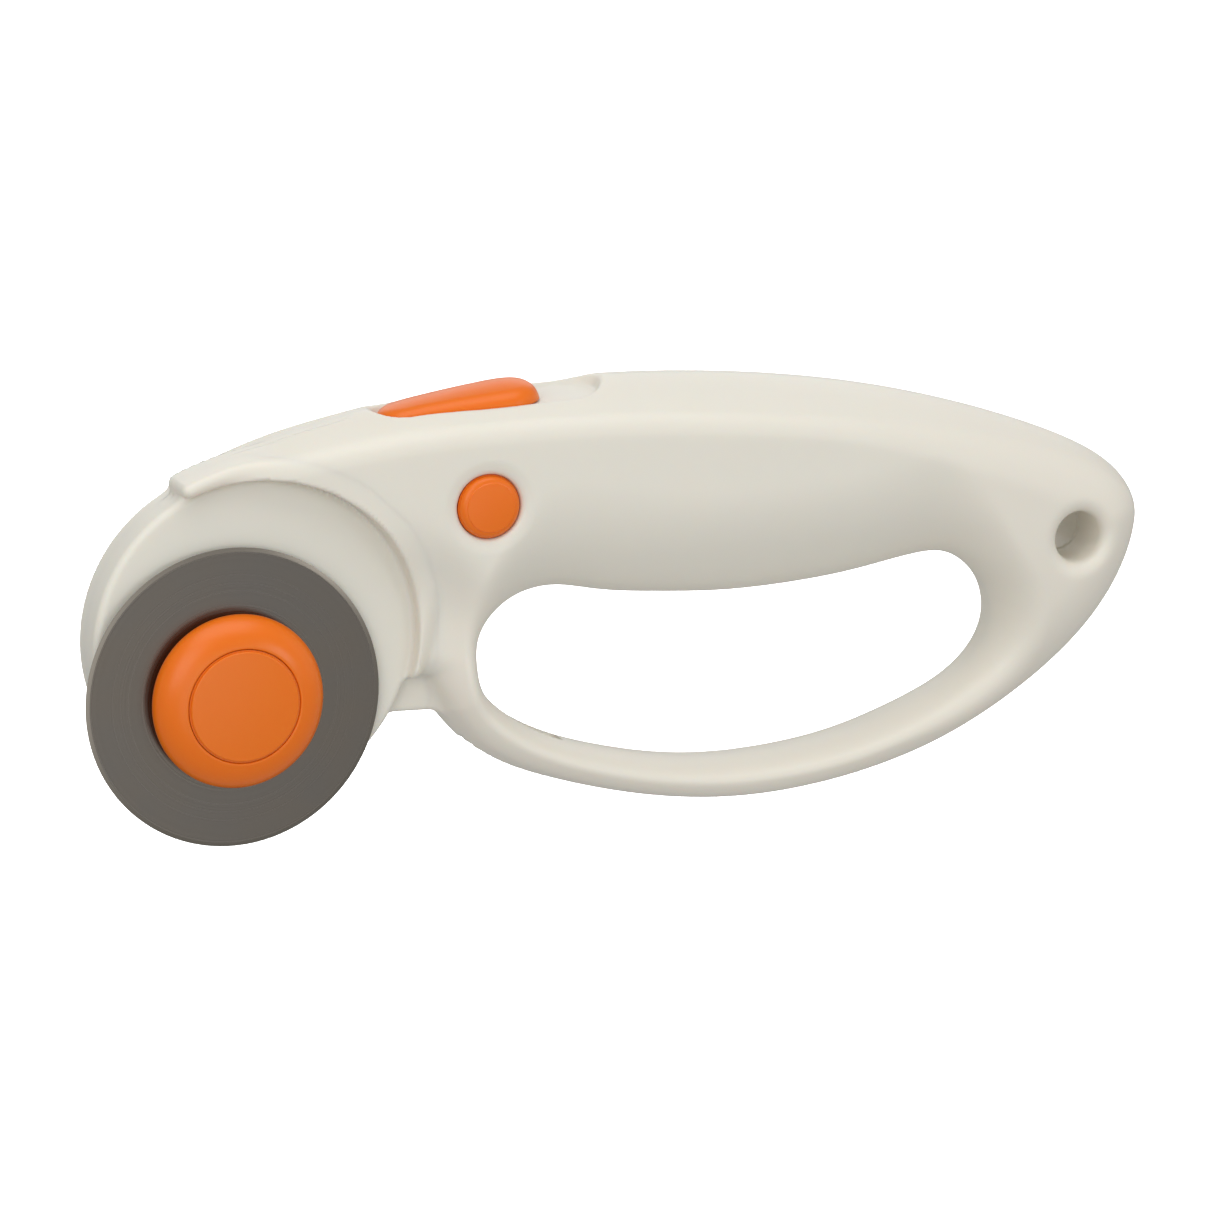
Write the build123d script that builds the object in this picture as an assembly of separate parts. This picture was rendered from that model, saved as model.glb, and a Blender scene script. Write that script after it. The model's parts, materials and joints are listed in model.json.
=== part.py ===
from build123d import *
import os
from math import atan2, cos, degrees, hypot, radians, sin

# Rotary cutter with a 45 mm blade and a closed finger loop, in millimetres.
# The origin is the centre of the hang hole, on the middle plane of the handle.
# +X runs from the blade to the tail, +Z is up, and +Y is away from the blade side.

# ---- Driving dimensions ------------------------------------------------------------------

wall = 2.2                      # shell wall
tail_hole_r = 3.75              # hang hole
beyond = 20                     # a depth past every surface, for cuts that go right through

# Guard disc and the lip round the recess above it
guard_x, guard_z = -130.1, -6.1
guard_r = 24.5
guard_front, guard_back = 5.0, 3.5      # depths on the two sides of the middle plane
guard_wall = 1.5
lip_width, lip_depth = 3.4, 7.7
lip_seat = 3.5                  # depth of the step that the lip sits on
web_depth = 3.0

# Blade and its axle, at rest in the cutting position
blade_x, blade_z = -134.0, -13.9
blade_r, blade_bore_r, blade_t = 22.5, 4.0, 0.3
blade_front = -6.5
bevel = 1.0                     # ground band along the edge
edge_t = 0.04                   # what is left of the thickness at the edge

# Thumb slide and its channel
slide_angle = 4.4               # slope of the channel
slide_travel = 9.0
slide_x, slide_z = -97.6, 25.8  # middle of the slide, on the channel's floor
slide_len, slide_w, slide_h = 25.4, 9.0, 3.3
channel_gap = 0.35
stem_len, stem_w, stem_back = 6.0, 3.0, 0.4
stem_reach, tongue_reach = 3.4, 8.2     # how far the stem and its tongue go below the floor
tongue_rear = 0.15              # depth of the tongue's rear face, against the plate
slide_clear = 0.15              # gap under the slide
slide_edge_r = 0.7

# Cross bolt that locks the slide
lock_x, lock_z = -95.4, 12.5
lock_r, lock_hole_r = 4.75, 5.0
lock_edge_r = 1.0
lock_shoulder_r, lock_waist_r = 2.5, 1.4
lock_front, lock_back = -11.3, 8.8
lock_waist = (-0.4, 4.8)
button_inner, rear_button_inner = -3.2, 5.2
socket_depth = 2.6
ring_y, ring_wire_r = -7.0, 0.48
groove_half, groove_depth = 0.6, 0.8
tube_wall, tube_gap = 1.6, 0.4  # wall of the bolt's guides, and their distance from the buttons
mouth_depth, funnel_depth, funnel_width = 9.8, 1.2, 1.6

# Plates of the mechanism: the carrier lies in front of the middle plane, the cam plate behind it
carrier_y = (-1.8, -0.2)
cam_y = (0.2, 1.8)
carrier_r = 5.5                 # half width, and the radius of its ends
pin_reach = 17.0                # from the axle to the cam pin
pin_r, roller_r = 1.0, 1.7
pin_rear = 1.95
axle_r, boss_r, boss_front = 3.0, 4.6, -5.3
rib_t, rib_run = 1.5, (4, 20)   # guide ribs, and where they start and end along the lift
rivet_r, rivet_head_r, rivet_head_t = 0.9, 1.4, 0.5
rivet_half_gap, rivet_drop = 1.6, 6.6
plate_rim = 2.0                 # least material round the cam slot
arm_r, arm_foot = 4.0, (-106.5, 11.4)

# Stack on the axle, in front of the boss: seat for the bush, nut, thread insert and cap
seat = (-7.35, -5.35)
support_r, pressure_r = 8.0, 9.0
nut_base, nut_face = -8.5, -11.1
thread_hole_r, flange_r, bolt_front = 5.1, 7.4, -11.4
cap_r, cap_y, cap_edge = 8.25, (-12.45, -11.5), 0.2
bolt_head_r = 4.8

press_gap = 0.02                # parts pressed together
fit_gap = 0.05                  # radial clearance of parts that turn or are pushed in
slot_gap = 0.08                 # roller in the cam slot
free_gap = 0.3                  # around parts that slide past without touching

# Screws: shank and head radius, the head's two depths, the tip's depth, and the two bosses' radii
screw_spots = [(-64.0, 12.0), (-28.0, 9.0), (-98.6, -14.6), (-6.0, -16.0)]
screw = dict(shank_r=1.25, head_r=2.6, head=(2.3, 4.0), tip=-5.0, boss_r=3.4, rear_boss_r=4.6)
guard_screw_spots = [(-147.5, -9.0), (-113.5, -10.0)]
guard_screw = dict(shank_r=1.0, head_r=2.1, head=(2.4, 3.3), tip=-3.0, boss_r=2.8, rear_boss_r=3.4)
tip_gap = 0.4
recess_long, recess_wide = 0.6, 0.14    # half sizes of the cross recess, as shares of head_r
recess_depth = 0.6

# Ridge that the slide's leaf spring clicks on
detent_x = -99.0
detent_top, detent_notch, notch_half = 3.3, 0.8, 1.6
ridge_ends, ridge_foot = (-108.0, -84.0), 0.5
spring_t = 0.35

# Outline of the handle in X and Z, from the nose over the top and round the tail to the web
nose = (-141.4, 17.8)
outer_points = [
    nose, (-124.3, 23.5), (-108.8, 26.5), (-80.6, 28.9), (-66.4, 28.7), (-42.2, 26.3),
    (-17.7, 20.8), (4.0, 12.4), (10.3, 7.4), (12.3, 1.0), (9.4, -8.8), (-5.8, -24.1),
    (-28.7, -34.6), (-53.3, -37.8), (-82.3, -32.1), (-95.3, -26.1), (-100.3, -20.5),
]
nose_foot, lip_tip = (-140.9, 15.0), (-103.9, -14.2)
loop_points = [
    (-95.1, -13.0), (-92.5, -5.9), (-83.1, -2.4), (-69.5, -4.3), (-56.6, -5.3), (-33.9, -3.9),
    (-21.5, -2.2), (-14.2, -5.4), (-11.0, -12.4), (-15.8, -20.8), (-35.3, -29.1),
    (-55.7, -31.1), (-74.3, -28.2), (-88.6, -22.4),
]
cavity_points = [
    (-136.5, 14.5), (-125, 19.3), (-110, 22.3), (-97.6, 23.8), (-78, 25.2), (-60, 25.2),
    (-42, 22.6), (-27, 17.5), (-21, 10.5), (-27, 3.0), (-42, -1.0), (-62, -1.6), (-76, -0.2),
    (-88, 1.0), (-98, 1.0), (-107, 2.0), (-116, 5.0), (-127, 11.0),
]
web_points = [(-109.0, -19.9), (-100.0, -20.4), (-100.0, -12.0), (-108.5, -9.0)]

# Half thickness along the handle, and its limit from the loop's bar up to the grip
half_by_x = [(-143, 6.8), (-125, 7.6), (-110, 8.9), (-95, 10.3), (-75, 12.1), (-55, 13.0),
             (-35, 12.6), (-15, 11.3), (0, 10.3), (14, 9.4)]
half_by_z = [(-39, 6.4), (-25, 7.2), (-14, 9.0), (-3, 12.2), (8, 13.4), (31, 13.4)]
half_max = 13.5
draft, cavity_draft = 12, 8     # degrees by which the sides draw in away from the middle

# ---- Worked out --------------------------------------------------------------------------

retract = hypot(guard_x - blade_x, guard_z - blade_z)
retract_angle = atan2(guard_z - blade_z, guard_x - blade_x)
lift = Vector(cos(retract_angle), 0, sin(retract_angle))
back = Vector(cos(radians(slide_angle)), 0, sin(radians(slide_angle)))
axle = Vector(blade_x, 0, blade_z)
guard = Vector(guard_x, 0, guard_z)
pin = axle + lift * pin_reach
# The cam slot is the pin's path as the moving cam plate sees it.
cam_end = pin + lift * retract - back * slide_travel
lock = Vector(lock_x, 0, lock_z)
blade_rear = blade_front + blade_t
slide_plane = Plane(origin=(slide_x, 0, slide_z), x_dir=back, z_dir=(-back.Z, 0, back.X))
side = Plane(origin=(0, 0, 0), x_dir=(1, 0, 0), z_dir=(0, -1, 0))


# ---- Helpers -----------------------------------------------------------------------------

def slab(face, y0, y1):
    """Extrude a face of the middle plane so that it runs from depth y0 to y1."""
    return Pos(0, y1, 0) * extrude(face, amount=y1 - y0, dir=(0, -1, 0))


def disc(at, r, y0, y1):
    """Round bar along Y."""
    return slab(side * Pos(at.X, at.Z) * Circle(r), y0, y1)


def ring(at, r_out, r_in, y0, y1):
    return slab(side * Pos(at.X, at.Z) * (Circle(r_out) - Circle(r_in)), y0, y1)


def stadium(start, end, r):
    """Face with round ends between two points of the middle plane."""
    run = end - start
    middle = (start + end) * 0.5
    turn = degrees(atan2(run.Z, run.X))
    return side * Pos(middle.X, middle.Z) * Rot(0, 0, turn) * SlotCenterToCenter(run.length, 2 * r)


def polygon(points):
    return side * make_face(Polyline(*points, close=True))


def turned(at, profile):
    """Solid of revolution about an axis along Y, from a list of (radius, depth)."""
    return Pos(at.X, 0, at.Z) * revolve(make_face(Polyline(*profile, close=True)), Axis.Y)


def spots(places, r, y0, y1):
    """Round bars along Y at each place."""
    return Part() + [disc(Vector(x, 0, z), r, y0, y1) for x, z in places]


def mirrored(solid):
    """The same shape on the other side of the middle plane."""
    return mirror(solid, about=Plane.XZ)


# ---- Handle ------------------------------------------------------------------------------

def outline():
    return make_face([
        Spline(*outer_points),
        Polyline(outer_points[-1], lip_tip, (guard_x, guard_z), nose_foot, nose),
    ])


def drafted(face, taper):
    """Half block on the blade side of the middle plane."""
    return extrude(side * face, amount=half_max, dir=(0, -1, 0), taper=taper)


def band(points, inset, plane, reach):
    """Block whose half thickness follows the points, less an inset."""
    near = Spline(*[(a, h - inset) for a, h in points])
    far = Spline(*[(a, inset - h) for a, h in points])
    ends = [Line(near @ 0, far @ 0), Line(near @ 1, far @ 1)]
    return extrude(plane * make_face([near, far, *ends]), amount=reach, both=True)


def envelope(inset=0.0):
    along = band(half_by_x, inset, Plane.XY, 60)
    upright = Plane(origin=(-60, 0, 0), x_dir=(0, 0, 1), z_dir=(-1, 0, 0))
    return along & band(half_by_z, inset, upright, 120)


def cavity():
    return make_face(Spline(*cavity_points, periodic=True))


def half_handle():
    """Solid half of the handle on the blade side, with its finger loop."""
    loop = make_face(Spline(*loop_points, periodic=True))
    return (drafted(outline(), draft) & envelope()) - drafted(loop, -draft)


def recess_void(r, depth):
    """Round room in front of the guard, down to a depth in front of the middle plane."""
    return disc(guard, r, -beyond, -depth)


def guard_half(depth):
    """Half of the guard disc with its web, hollow and open towards the grip."""
    floor = guard_wall - depth
    solid = disc(guard, guard_r, -depth, 0) + slab(polygon(web_points), -web_depth, 0)
    return solid - disc(guard, guard_r - guard_wall, floor, 0) - slab(side * cavity(), floor, 0)


def lip_ring():
    """Raised lip round the recess, as far as the handle's outline reaches."""
    return (ring(guard, guard_r + lip_width, guard_r - guard_wall, -lip_depth, -lip_seat)
            & slab(side * outline(), -lip_depth, 0)) - recess_void(guard_r, guard_front)


def grip_half(half, margin, depth):
    """Hollow half of the grip, which stops short of the guard's centre by the given margin."""
    room = (drafted(cavity(), cavity_draft) & envelope(wall)) - recess_void(margin + wall, 0)
    return half - recess_void(guard_r, 0) - room - slab(side * cavity(), guard_wall - depth, 0)


def tail_hole():
    return disc(Vector(), tail_hole_r, -beyond, beyond)


def lock_tube(half, inner):
    """Guide for one end of the cross bolt, as deep as the handle is there."""
    return disc(lock, lock_hole_r + tube_wall, -half_max, inner) & half


def lock_mouth():
    """Bore of the guide with a soft funnel at the surface."""
    wide = lock_hole_r + funnel_width
    funnel = turned(lock, [(0, -mouth_depth), (lock_hole_r, -mouth_depth),
                           (wide, -mouth_depth - funnel_depth), (wide, -beyond), (0, -beyond)])
    return disc(lock, lock_hole_r, -beyond, 1) + funnel


def channel():
    """Tray in the top that the slide runs in, and the slot in its floor for the stem."""
    tray = SlotOverall(slide_len + slide_travel + 2 * channel_gap, slide_w + 2 * channel_gap)
    slot = Rectangle(stem_len + slide_travel + 2 * free_gap, stem_w + 2 * free_gap)
    centre = Pos(slide_travel / 2, 0)
    return (extrude(slide_plane * centre * tray, amount=9)
            + extrude(slide_plane * centre * Pos(-stem_back, 0) * slot, amount=-4))


def carrier_ribs():
    """Two straight ribs on the guard's inside that the carrier slides between."""
    across = Vector(-lift.Z, 0, lift.X)
    ribs = Part()
    for sign in (-1, 1):
        offset = across * sign * (carrier_r + slot_gap + rib_t / 2)
        middle = axle + lift * sum(rib_run) / 2 + offset
        turn = degrees(retract_angle)
        face = side * Pos(middle.X, middle.Z) * Rot(0, 0, turn) * Rectangle(rib_run[1] - rib_run[0], rib_t)
        ribs += slab(face, -guard_front, carrier_y[1])
    return ribs


def pilot_holes(places, kind):
    return spots(places, kind["shank_r"] + fit_gap, kind["tip"] - tip_gap, 1)


def front_shell(half):
    """Blade side of the grip, with a round step for the guard."""
    solid = grip_half(half, guard_r + lip_width, guard_front) + lock_tube(half, button_inner + tube_gap)
    solid += spots(screw_spots, screw["boss_r"], -half_max, 0) & half
    solid -= pilot_holes(screw_spots, screw)
    solid -= recess_void(guard_r + lip_width, lip_seat) + slab(polygon(web_points), -web_depth, 0)
    return solid - lock_mouth() - channel() - tail_hole()


def blade_guard():
    """Disc that the blade draws back against, with the lip, the web and the carrier's slot."""
    solid = guard_half(guard_front) + lip_ring()
    solid += spots(guard_screw_spots, guard_screw["boss_r"], -guard_front, 0) + carrier_ribs()
    solid -= pilot_holes(guard_screw_spots, guard_screw)
    # The web's corner makes room for the grip's screw boss.
    solid -= spots(screw_spots, screw["boss_r"], -half_max, 0)
    return solid - slab(stadium(axle, guard, boss_r + free_gap), -beyond, 1 - guard_front + guard_wall)


def rear_shell(half):
    """Far side of the grip and the guard in one piece, with counterbores for the screws."""
    lip = ring(guard, guard_r + lip_width, guard_r, -lip_depth, 0) & slab(side * outline(), -lip_depth, 0)
    solid = mirrored(grip_half(half + lip, guard_r, guard_back) + guard_half(guard_back)
                     + lock_tube(half, tube_gap - rear_button_inner))
    solid += mirrored(spots(screw_spots, screw["rear_boss_r"], -half_max, 0) & half)
    solid += spots(guard_screw_spots, guard_screw["rear_boss_r"], 0, guard_back)
    solid += detent_ridge() & mirrored(half)
    for places, kind in ((screw_spots, screw), (guard_screw_spots, guard_screw)):
        solid -= spots(places, kind["shank_r"] + free_gap, -1, beyond)
        solid -= spots(places, kind["head_r"] + free_gap, kind["head"][0], beyond)
    return solid - mirrored(lock_mouth()) - channel() - tail_hole()


def detent_ridge():
    """Ridge inside the rear shell with a notch for the spring at each end of the travel."""
    top, low = detent_top, detent_top - detent_notch
    notches = [detent_x, detent_x + slide_travel]
    points = [(ridge_ends[0], ridge_foot), (ridge_ends[0], top)]
    for x in notches:
        points += [(x - notch_half, top), (x, low), (x + notch_half, top)]
    points += [(ridge_ends[1], top), (ridge_ends[1], ridge_foot)]
    return slab(polygon(points), cam_y[0], half_max)


def screws(places, kind):
    """Pan head screws that go in from the back, with a cross recess."""
    base, top = kind["head"]
    group = []
    for x, z in places:
        at = Vector(x, 0, z)
        one = disc(at, kind["shank_r"], kind["tip"], base) + disc(at, kind["head_r"], base, top)
        for turn in (0, 90):
            slit = Rectangle(2 * recess_long * kind["head_r"], 2 * recess_wide * kind["head_r"])
            one -= slab(side * Pos(x, z) * Rot(0, 0, turn) * slit, top - recess_depth, top + 1)
        group.append(one)
    return Compound(children=group)


# ---- Thumb slide -------------------------------------------------------------------------

def thumb_slide():
    """Slide with a low front and a high rounded rear, its stem and a tongue for the plate."""
    end = slide_len / 2
    crown = Spline((-end, 1.1), (-end + 3, 1.8), (0, 2.7), (7, slide_h), (10.5, slide_h - 0.1),
                   (end - 0.5, 2.2))
    profile = make_face([crown, Polyline(crown @ 1, (end, slide_clear), (-end, slide_clear), crown @ 0)])
    upright = Plane(origin=slide_plane.origin, x_dir=slide_plane.x_dir, z_dir=(0, -1, 0))
    cap = extrude(upright * profile, amount=slide_w, both=True)
    cap &= extrude(slide_plane * SlotOverall(slide_len, slide_w), amount=2 * slide_h)
    cap = fillet(cap.faces().sort_by(Axis((0, 0, 0), slide_plane.z_dir))[-1].edges(), slide_edge_r)
    stem = below(stem_w, 0, -slide_clear - 0.2, stem_reach)
    tongue_w = tongue_rear + stem_w / 2
    tongue = below(tongue_w, tongue_rear - tongue_w / 2, stem_reach, tongue_reach)
    return (cap + slide_plane * (stem + tongue)) - spots(rivet_places(), rivet_r + fit_gap, -3, 3)


def below(width, y, top, bottom):
    """Block as long as the stem, between two distances below the channel's floor."""
    return Pos(-stem_back, y, -(top + bottom) / 2) * Box(stem_len, width, bottom - top)


def rivet_places():
    """Two points on the tongue, in X and Z."""
    places = [slide_plane.from_local_coords((x - stem_back, 0, -rivet_drop))
              for x in (-rivet_half_gap, rivet_half_gap)]
    return [(p.X, p.Z) for p in places]


def slide_rivets():
    y0, y1 = -stem_w / 2, cam_y[1]
    group = []
    for x, z in rivet_places():
        at = Vector(x, 0, z)
        group.append(disc(at, rivet_r, y0 - 0.2, y1 + 0.2)
                     + disc(at, rivet_head_r, y0 - rivet_head_t, y0)
                     + disc(at, rivet_head_r, y1, y1 + rivet_head_t))
    return Compound(children=group)


def slide_carriage():
    """Plate with the inclined cam slot, and a slot for the cross bolt with a notch at each end."""
    body = polygon([(-101.6, 22.0), (-94.2, 22.6), (-90.3, 18.5), (-90.3, 8.3), (-108.0, 7.3),
                    (-110.5, 15.5)])
    arm = stadium((pin + cam_end) * 0.5, Vector(arm_foot[0], 0, arm_foot[1]), arm_r)
    head = stadium(pin, cam_end, roller_r + plate_rim)
    solid = slab(body, *cam_y) + slab(arm, *cam_y) + slab(head, *cam_y)
    solid -= slab(stadium(pin, cam_end, roller_r + slot_gap), -1, 3)
    far = lock - back * slide_travel
    solid -= slab(stadium(lock, far, lock_waist_r + free_gap), -1, 3)
    solid -= disc(lock, lock_shoulder_r + free_gap, -1, 3)
    solid -= disc(far, lock_shoulder_r + free_gap, -1, 3)
    return solid - spots(rivet_places(), rivet_r + fit_gap, -1, 3)


def detent_spring():
    """Bowed leaf under the plate, whose tip sits in a notch of the ridge."""
    tip, t = detent_top - detent_notch + 0.15, spring_t
    bow = [(-106.0, 6.5), (-103.0, 5.5), (-100.2, 4.0), (detent_x, tip), (-97.8, 4.0),
           (-95.0, 5.6), (-91.0, 7.6)]
    face = polygon(bow + [(x, z + t * 1.4) for x, z in reversed(bow)])
    return slab(face, cam_y[0] + 0.1, cam_y[1] - 0.1)


# ---- Blade carrier -----------------------------------------------------------------------

def blade_carrier():
    """Sliding plate with a boss that goes through the guard and holds the axle."""
    solid = slab(stadium(axle, pin, carrier_r), *carrier_y)
    solid += disc(axle, boss_r, boss_front, carrier_y[1])
    return solid - disc(axle, axle_r + fit_gap, -9, 1) - disc(pin, pin_r + press_gap, -9, 1)


def axle_bolt():
    hexagon = side * Pos(blade_x, blade_z) * RegularPolygon(bolt_head_r, 6)
    head = slab(hexagon, carrier_y[1] + press_gap, cam_y[1] - fit_gap)
    return head + disc(axle, axle_r, bolt_front, 1)


def blade():
    """Round blade, ground from both faces along its edge."""
    inner, edge = blade_r - bevel, edge_t / 2
    middle = (blade_front + blade_rear) / 2
    return turned(axle, [(blade_bore_r, blade_front), (inner, blade_front),
                         (blade_r, middle - edge), (blade_r, middle + edge),
                         (inner, blade_rear), (blade_bore_r, blade_rear)])


def blade_nut():
    """Domed nut with a seat for the cap in front and a hollow for the spring behind."""
    dome = Spline((11.7, -6.95), (12.8, -7.9), (13.0, -8.9), (12.4, -10.2), (10.9, -11.4),
                  (9.3, -12.05), (8.4, -12.2))
    hole_r, rim_r, cup_r = thread_hole_r + fit_gap, (dome @ 1).X, pressure_r + 0.4
    inner = Polyline(dome @ 1, (rim_r, nut_face), (hole_r, nut_face), (hole_r, nut_base),
                     (cup_r, nut_base), (cup_r, (dome @ 0).Y), dome @ 0)
    return Pos(blade_x, 0, blade_z) * revolve(make_face([dome, inner]), Axis.Y)


def nut_insert():
    """Flanged brass thread."""
    bore, under, front = axle_r + fit_gap, nut_face - press_gap, bolt_front - fit_gap
    return turned(axle, [(bore, nut_base), (thread_hole_r, nut_base), (thread_hole_r, under),
                         (flange_r, under), (flange_r, front), (bore, front)])


def nut_cap():
    front, rear = cap_y
    return turned(axle, [(0, rear), (cap_r, rear), (cap_r, front + cap_edge), (cap_r - cap_edge, front),
                         (0, front)])


def disc_spring():
    """Cone washer between the nut and the pressure washer."""
    inner, outer = blade_bore_r + 0.4, pressure_r - 0.2
    high, low = nut_base + 0.08, seat[0] - fit_gap
    return turned(axle, [(inner, high), (outer, low - spring_t), (outer, low), (inner, high + spring_t)])


# ---- Cross bolt --------------------------------------------------------------------------

def lock_button():
    """Front end of the cross bolt, with a soft edge and a groove for the ring."""
    solid = disc(lock, lock_r, lock_front, button_inner)
    solid = fillet(solid.edges().group_by(Axis.Y)[0], lock_edge_r)
    groove = ring(lock, lock_r + 1, lock_r - groove_depth, ring_y - groove_half, ring_y + groove_half)
    return solid - groove - disc(lock, lock_shoulder_r + press_gap, button_inner - socket_depth, 0)


def lock_rear_button():
    solid = disc(lock, lock_r, rear_button_inner, lock_back)
    solid = fillet(solid.edges().group_by(Axis.Y)[-1], lock_edge_r)
    return solid - disc(lock, lock_shoulder_r + press_gap, 0, rear_button_inner + socket_depth)


def lock_bolt():
    """Bolt whose waist lets the plate slide and whose shoulder stops it."""
    y0, y1 = button_inner - socket_depth, rear_button_inner + socket_depth
    return (disc(lock, lock_shoulder_r, y0, lock_waist[0]) + disc(lock, lock_waist_r, y0, y1)
            + disc(lock, lock_shoulder_r, lock_waist[1], y1))


def lock_o_ring():
    face = Pos(lock_hole_r - ring_wire_r - fit_gap, ring_y) * Circle(ring_wire_r)
    return Pos(lock_x, 0, lock_z) * revolve(face, Axis.Y)


# ---- Write every piece -------------------------------------------------------------------

half = half_handle()
pieces = {
    "front_shell": front_shell(half),
    "blade_guard": blade_guard(),
    "rear_shell": rear_shell(half),
    "housing_screws": screws(screw_spots, screw),
    "guard_screws": screws(guard_screw_spots, guard_screw),
    "thumb_slide": thumb_slide(),
    "slide_carriage": slide_carriage(),
    "slide_rivets": slide_rivets(),
    "detent_spring": detent_spring(),
    "blade_carrier": blade_carrier(),
    "cam_pin": disc(pin, pin_r, carrier_y[0], pin_rear),
    "cam_roller": ring(pin, roller_r, pin_r + fit_gap, -0.1, pin_rear - 0.1),
    "axle_bolt": axle_bolt(),
    "support_washer": ring(axle, support_r, blade_bore_r, blade_rear + fit_gap, seat[1]),
    "blade_bush": ring(axle, blade_bore_r - fit_gap, axle_r + fit_gap, *seat),
    "blade": blade(),
    "pressure_washer": ring(axle, pressure_r, blade_bore_r, seat[0], blade_front - fit_gap),
    "disc_spring": disc_spring(),
    "nut_insert": nut_insert(),
    "blade_nut": blade_nut(),
    "nut_cap": nut_cap(),
    "lock_button": lock_button(),
    "lock_o_ring": lock_o_ring(),
    "lock_bolt": lock_bolt(),
    "lock_rear_button": lock_rear_button(),
}

os.makedirs("parts", exist_ok=True)
for name, shape in pieces.items():
    export_step(shape, f"parts/{name}.step")
print("blade travel", round(retract, 3), "at", round(degrees(retract_angle), 2), "degrees")
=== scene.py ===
import json
import math

import bmesh
import bpy
import numpy as np
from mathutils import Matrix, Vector


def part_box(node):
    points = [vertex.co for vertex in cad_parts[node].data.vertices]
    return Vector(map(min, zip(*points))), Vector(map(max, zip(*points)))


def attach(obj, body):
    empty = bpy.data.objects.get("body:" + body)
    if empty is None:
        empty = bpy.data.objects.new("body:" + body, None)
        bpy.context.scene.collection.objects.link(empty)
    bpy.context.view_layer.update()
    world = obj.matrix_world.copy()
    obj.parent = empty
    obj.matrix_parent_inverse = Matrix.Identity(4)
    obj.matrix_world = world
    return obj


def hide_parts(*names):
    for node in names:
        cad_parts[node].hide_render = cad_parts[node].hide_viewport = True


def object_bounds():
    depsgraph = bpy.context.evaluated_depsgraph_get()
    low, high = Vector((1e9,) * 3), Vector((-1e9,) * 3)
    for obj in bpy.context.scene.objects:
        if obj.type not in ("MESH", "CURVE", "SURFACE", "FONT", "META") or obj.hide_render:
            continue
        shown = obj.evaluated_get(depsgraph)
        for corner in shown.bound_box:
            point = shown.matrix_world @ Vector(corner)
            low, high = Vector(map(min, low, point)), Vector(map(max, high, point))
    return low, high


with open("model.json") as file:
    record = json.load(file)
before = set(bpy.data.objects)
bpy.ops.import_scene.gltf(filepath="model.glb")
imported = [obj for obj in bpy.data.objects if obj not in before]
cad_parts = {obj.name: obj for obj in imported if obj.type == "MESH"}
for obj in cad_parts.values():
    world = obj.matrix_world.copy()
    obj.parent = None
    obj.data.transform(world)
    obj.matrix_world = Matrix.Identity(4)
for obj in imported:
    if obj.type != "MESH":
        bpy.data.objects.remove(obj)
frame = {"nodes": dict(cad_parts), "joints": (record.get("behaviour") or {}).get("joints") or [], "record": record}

CAD_BOUNDS = [list(corner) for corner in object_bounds()]
MM = 0.001

# ---- Places from the frame, in millimetres -----------------------------------------------

joints = {j["name"]: j for j in frame["joints"]}
LIFT = np.array(joints["carrier_lift"]["axis"])
BACK = np.array(joints["slide_push"]["axis"])
TRAVEL = joints["slide_push"]["range_m"][1] / MM
AXLE = np.array(joints["blade_spin"]["pos_m"]) / MM
BLADE_TRAVEL = TRAVEL * frame["record"]["behaviour"]["couplings"][0]["ratio"]
GUARD = AXLE + LIFT * BLADE_TRAVEL
hang_hole = next(m for m in frame["record"]["mounts"] if m["name"] == "hang_hole")
HOLE_R = hang_hole["dims"]["r_mm"]


def span(node):
    """Lowest and highest corner of a CAD node, in millimetres."""
    low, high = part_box(node)
    return np.array(low) / MM, np.array(high) / MM


def centre(node):
    """Middle of a CAD node's box, in millimetres."""
    low, high = span(node)
    return (low + high) / 2


LOCK = centre("lock_button")
SLIDE_LOW, SLIDE_HIGH = span("thumb_slide")

# ---- Shape of the handle, in millimetres -------------------------------------------------

# Guard: a flat drum that covers the retracted blade
GUARD_R, GUARD_FRONT, GUARD_BACK, GUARD_EDGE = 24.5, -5.0, 3.5, 1.1
GUARD_WALL, GUARD_GAP = 1.5, 0.1
# Lip: a roll round the recess. Its angles are measured round the guard's centre
LIP_R, LIP_WIRE, LIP_FRONT = 26.1, 1.75, -7.75
LIP_FROM, LIP_TO = math.radians(-13.5), math.radians(113.5)
# Its lower end curls inwards from the first angle, and its upper end gets slimmer from the second
CURL_FROM, LIP_CURL = 0.3, 1.9
SLIM_FROM, LIP_SLIM_R, LIP_SLIM_WIRE = 1.4, 0.2, 0.7
# Roof: how steeply the top falls to each side, and how round its ridge is
ROOF, ROOF_R = 0.75, 8.0
# Shallow flat groove along the top, from the nose to where the roof is smooth
GROOVE, GROOVE_HALF, GROOVE_END = 0.25, (1.8, 2.3), (-116, -113)
# The guard's part of the front half ends at this radius, in front of this depth
SEAM_R, SEAM_Y = 27.9, -3.5
WALL = 2.2
LOCK_HOLE_R, LOCK_DISH_R, LOCK_DISH, LOCK_TUBE = 4.85, 7.2, 0.35, 1.6
TUBE_FRONT, TUBE_BACK = -2.8, 4.8
# Slide and its tray: half length, half width at the front, flare, gap round it, floor, shift to the rear
SLIDE_HALF, SLIDE_W, SLIDE_FLARE, GAP, TRAY_FLOOR, TRAY_BACK = 12.7, 4.1, 1.5, 0.25, -0.8, 0.7
FLARE_END, SLIDE_CROWN = 8.0, 0.045
SCOOP, SCOOP_START, SCOOP_END = 2.2, -0.3, 3.2
STEM_HALF, STEM_W, STEM_SHIFT = 7.8, 1.8, -0.4
# Slot in the guard that the axle moves in
AXLE_SLOT_R, AXLE_SLOT_BACK = 4.9, -2
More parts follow.
